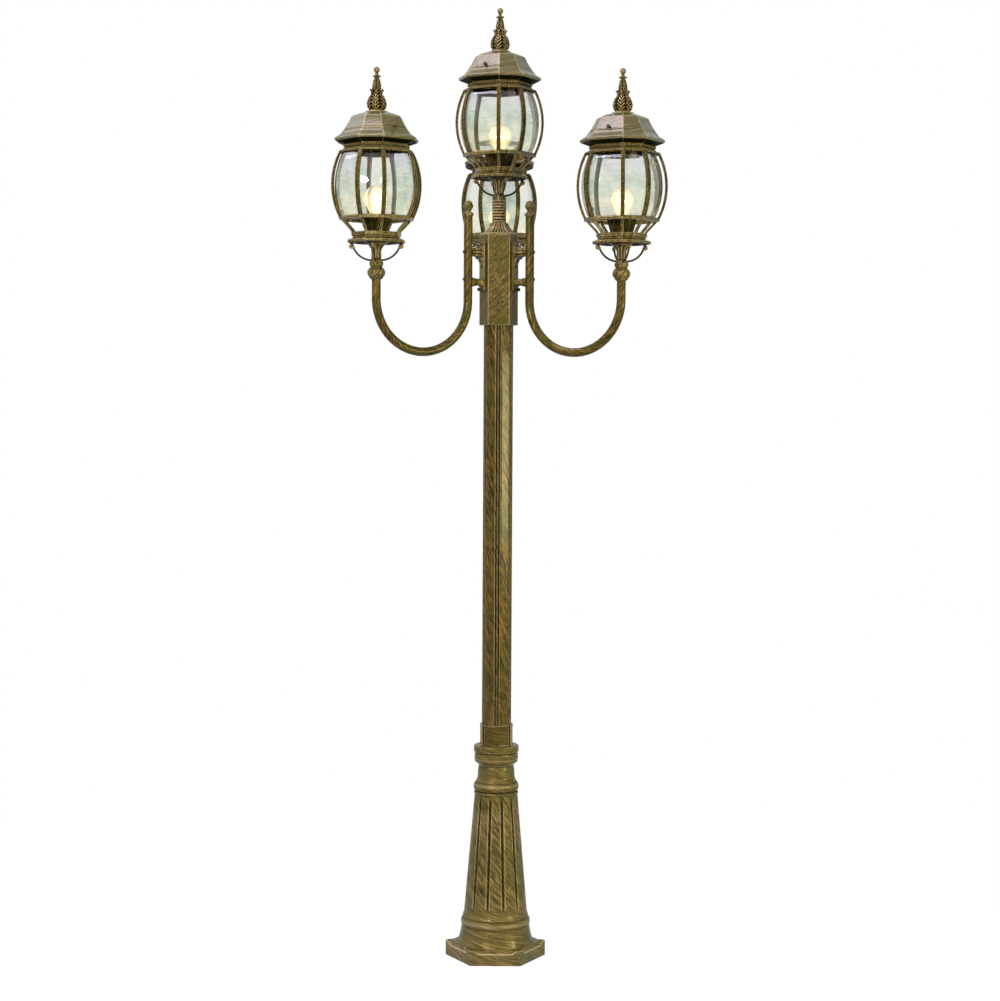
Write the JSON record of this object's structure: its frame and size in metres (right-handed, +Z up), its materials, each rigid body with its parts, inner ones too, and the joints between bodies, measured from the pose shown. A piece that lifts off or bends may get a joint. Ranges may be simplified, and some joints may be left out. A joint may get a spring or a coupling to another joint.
{
  "type": "garden lamp post",
  "caption": "Garden lamp post on a fluted hexagonal base: lanterns on U-shaped arms and one on the post's top, with lift-off roofs and removable lamps.",
  "frame": {"origin": "centre of the anchor hole circle, on the underside of the foot", "axes": "+Z up along the post, -Y towards the front, between the left and the right arm"},
  "size_m": [0.8111, 0.7222, 2.4],
  "materials": {
    "cast_bronze": "satin",
    "tube_bronze": "satin",
    "dark_fastener": "satin",
    "scroll_iron": "satin",
    "pane_glass": "polished",
    "bulb_glass": "polished",
    "bulb_cap_metal": "satin",
    "holder_ceramic": "satin",
    "lead_insulation": "matte"
  },
  "bodies": {
    "post": {"base_casting": "cast_bronze", "pole": "tube_bronze", "base_collar": "cast_bronze", "collar_screws": "dark_fastener", "arm_hub": "cast_bronze", "hub_screws": "dark_fastener", "hub_cap": "cast_bronze", "top_coupler": "cast_bronze", "arm_left": "tube_bronze", "arm_right": "tube_bronze", "arm_rear": "tube_bronze", "arm_brackets": "cast_bronze", "bracket_bolts": "dark_fastener", "arm_finials": "cast_bronze", "arm_knuckles": "cast_bronze", "supply_leads": "lead_insulation"},
    "top_head": {"top_neck": "cast_bronze", "top_gallery": "cast_bronze", "top_cage": "cast_bronze", "top_glass": "pane_glass", "top_scrolls": "scroll_iron", "top_lampholder": "holder_ceramic"},
    "top_lid": {"top_roof": "cast_bronze", "top_thumb_screws": "dark_fastener", "top_finial": "cast_bronze"},
    "top_lamp": {"top_bulb_glass": "bulb_glass", "top_bulb_cap": "bulb_cap_metal"},
    "left_head": {"left_neck": "cast_bronze", "left_gallery": "cast_bronze", "left_cage": "cast_bronze", "left_glass": "pane_glass", "left_scrolls": "scroll_iron", "left_lampholder": "holder_ceramic"},
    "left_lid": {"left_roof": "cast_bronze", "left_thumb_screws": "dark_fastener", "left_finial": "cast_bronze"},
    "left_lamp": {"left_bulb_glass": "bulb_glass", "left_bulb_cap": "bulb_cap_metal"},
    "right_head": {"right_neck": "cast_bronze", "right_gallery": "cast_bronze", "right_cage": "cast_bronze", "right_glass": "pane_glass", "right_scrolls": "scroll_iron", "right_lampholder": "holder_ceramic"},
    "right_lid": {"right_roof": "cast_bronze", "right_thumb_screws": "dark_fastener", "right_finial": "cast_bronze"},
    "right_lamp": {"right_bulb_glass": "bulb_glass", "right_bulb_cap": "bulb_cap_metal"},
    "rear_head": {"rear_neck": "cast_bronze", "rear_gallery": "cast_bronze", "rear_cage": "cast_bronze", "rear_glass": "pane_glass", "rear_scrolls": "scroll_iron", "rear_lampholder": "holder_ceramic"},
    "rear_lid": {"rear_roof": "cast_bronze", "rear_thumb_screws": "dark_fastener", "rear_finial": "cast_bronze"},
    "rear_lamp": {"rear_bulb_glass": "bulb_glass", "rear_bulb_cap": "bulb_cap_metal"}
  },
  "joints": [
    {"name": "top_turn", "type": "hinge", "parent": "post", "child": "top_head", "pos_m": [0, 0, 1.93], "axis": [0, 0, 1], "range_deg": [-170, 170]},
    {"name": "top_roof_lift", "type": "slide", "parent": "top_head", "child": "top_lid", "axis": [0, 0, 1], "range_m": [0, 0.12]},
    {"name": "top_lamp_out", "type": "slide", "parent": "top_head", "child": "top_lamp", "axis": [0, 0, 1], "range_m": [0, 0.025]},
    {"name": "left_turn", "type": "hinge", "parent": "post", "child": "left_head", "pos_m": [-0.29878, -0.1725, 1.755], "axis": [0, 0, 1], "range_deg": [-170, 170]},
    {"name": "left_roof_lift", "type": "slide", "parent": "left_head", "child": "left_lid", "axis": [0, 0, 1], "range_m": [0, 0.12]},
    {"name": "left_lamp_out", "type": "slide", "parent": "left_head", "child": "left_lamp", "axis": [0, 0, 1], "range_m": [0, 0.025]},
    {"name": "right_turn", "type": "hinge", "parent": "post", "child": "right_head", "pos_m": [0.29878, -0.1725, 1.755], "axis": [0, 0, 1], "range_deg": [-170, 170]},
    {"name": "right_roof_lift", "type": "slide", "parent": "right_head", "child": "right_lid", "axis": [0, 0, 1], "range_m": [0, 0.12]},
    {"name": "right_lamp_out", "type": "slide", "parent": "right_head", "child": "right_lamp", "axis": [0, 0, 1], "range_m": [0, 0.025]},
    {"name": "rear_turn", "type": "hinge", "parent": "post", "child": "rear_head", "pos_m": [0, 0.345, 1.755], "axis": [0, 0, 1], "range_deg": [-170, 170]},
    {"name": "rear_roof_lift", "type": "slide", "parent": "rear_head", "child": "rear_lid", "axis": [0, 0, 1], "range_m": [0, 0.12]},
    {"name": "rear_lamp_out", "type": "slide", "parent": "rear_head", "child": "rear_lamp", "axis": [0, 0, 1], "range_m": [0, 0.025]}
  ]
}
